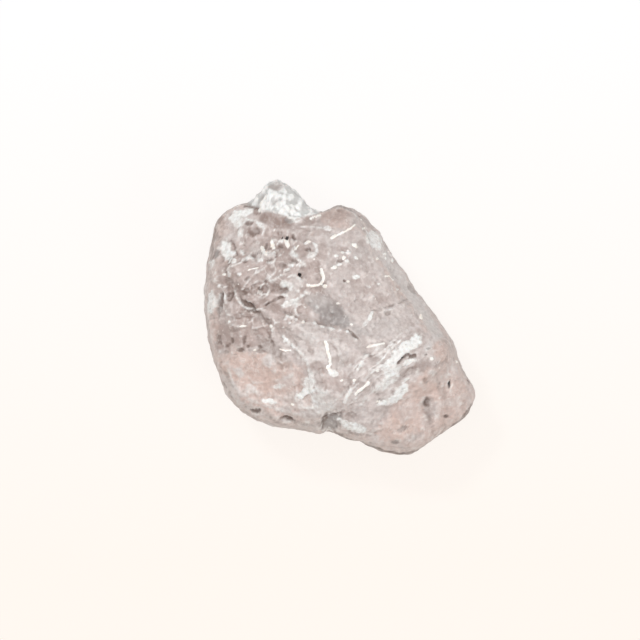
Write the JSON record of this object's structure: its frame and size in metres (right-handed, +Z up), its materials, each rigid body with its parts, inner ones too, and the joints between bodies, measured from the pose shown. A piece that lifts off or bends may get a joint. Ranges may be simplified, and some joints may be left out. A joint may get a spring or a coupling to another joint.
{
  "type": "rough morganite",
  "caption": "Rough morganite: an uneven lump of cloudy pink beryl with broken faces, ledges and a pale crystal point at one end, lying on a flat back.",
  "frame": {"origin": "on the resting face, under the middle of the stone's box", "axes": "+Z up from the resting face, through the stone's thickness; +Y along its longest side in plan, towards the end with the pale crystal point; +X across it"},
  "size_m": [0.0218, 0.022, 0.0115],
  "materials": {
    "stone": "cloudy pink beryl, satin, with frosted white fractures"
  },
  "bodies": {
    "root": {"morganite": "stone"}
  },
  "joints": []
}
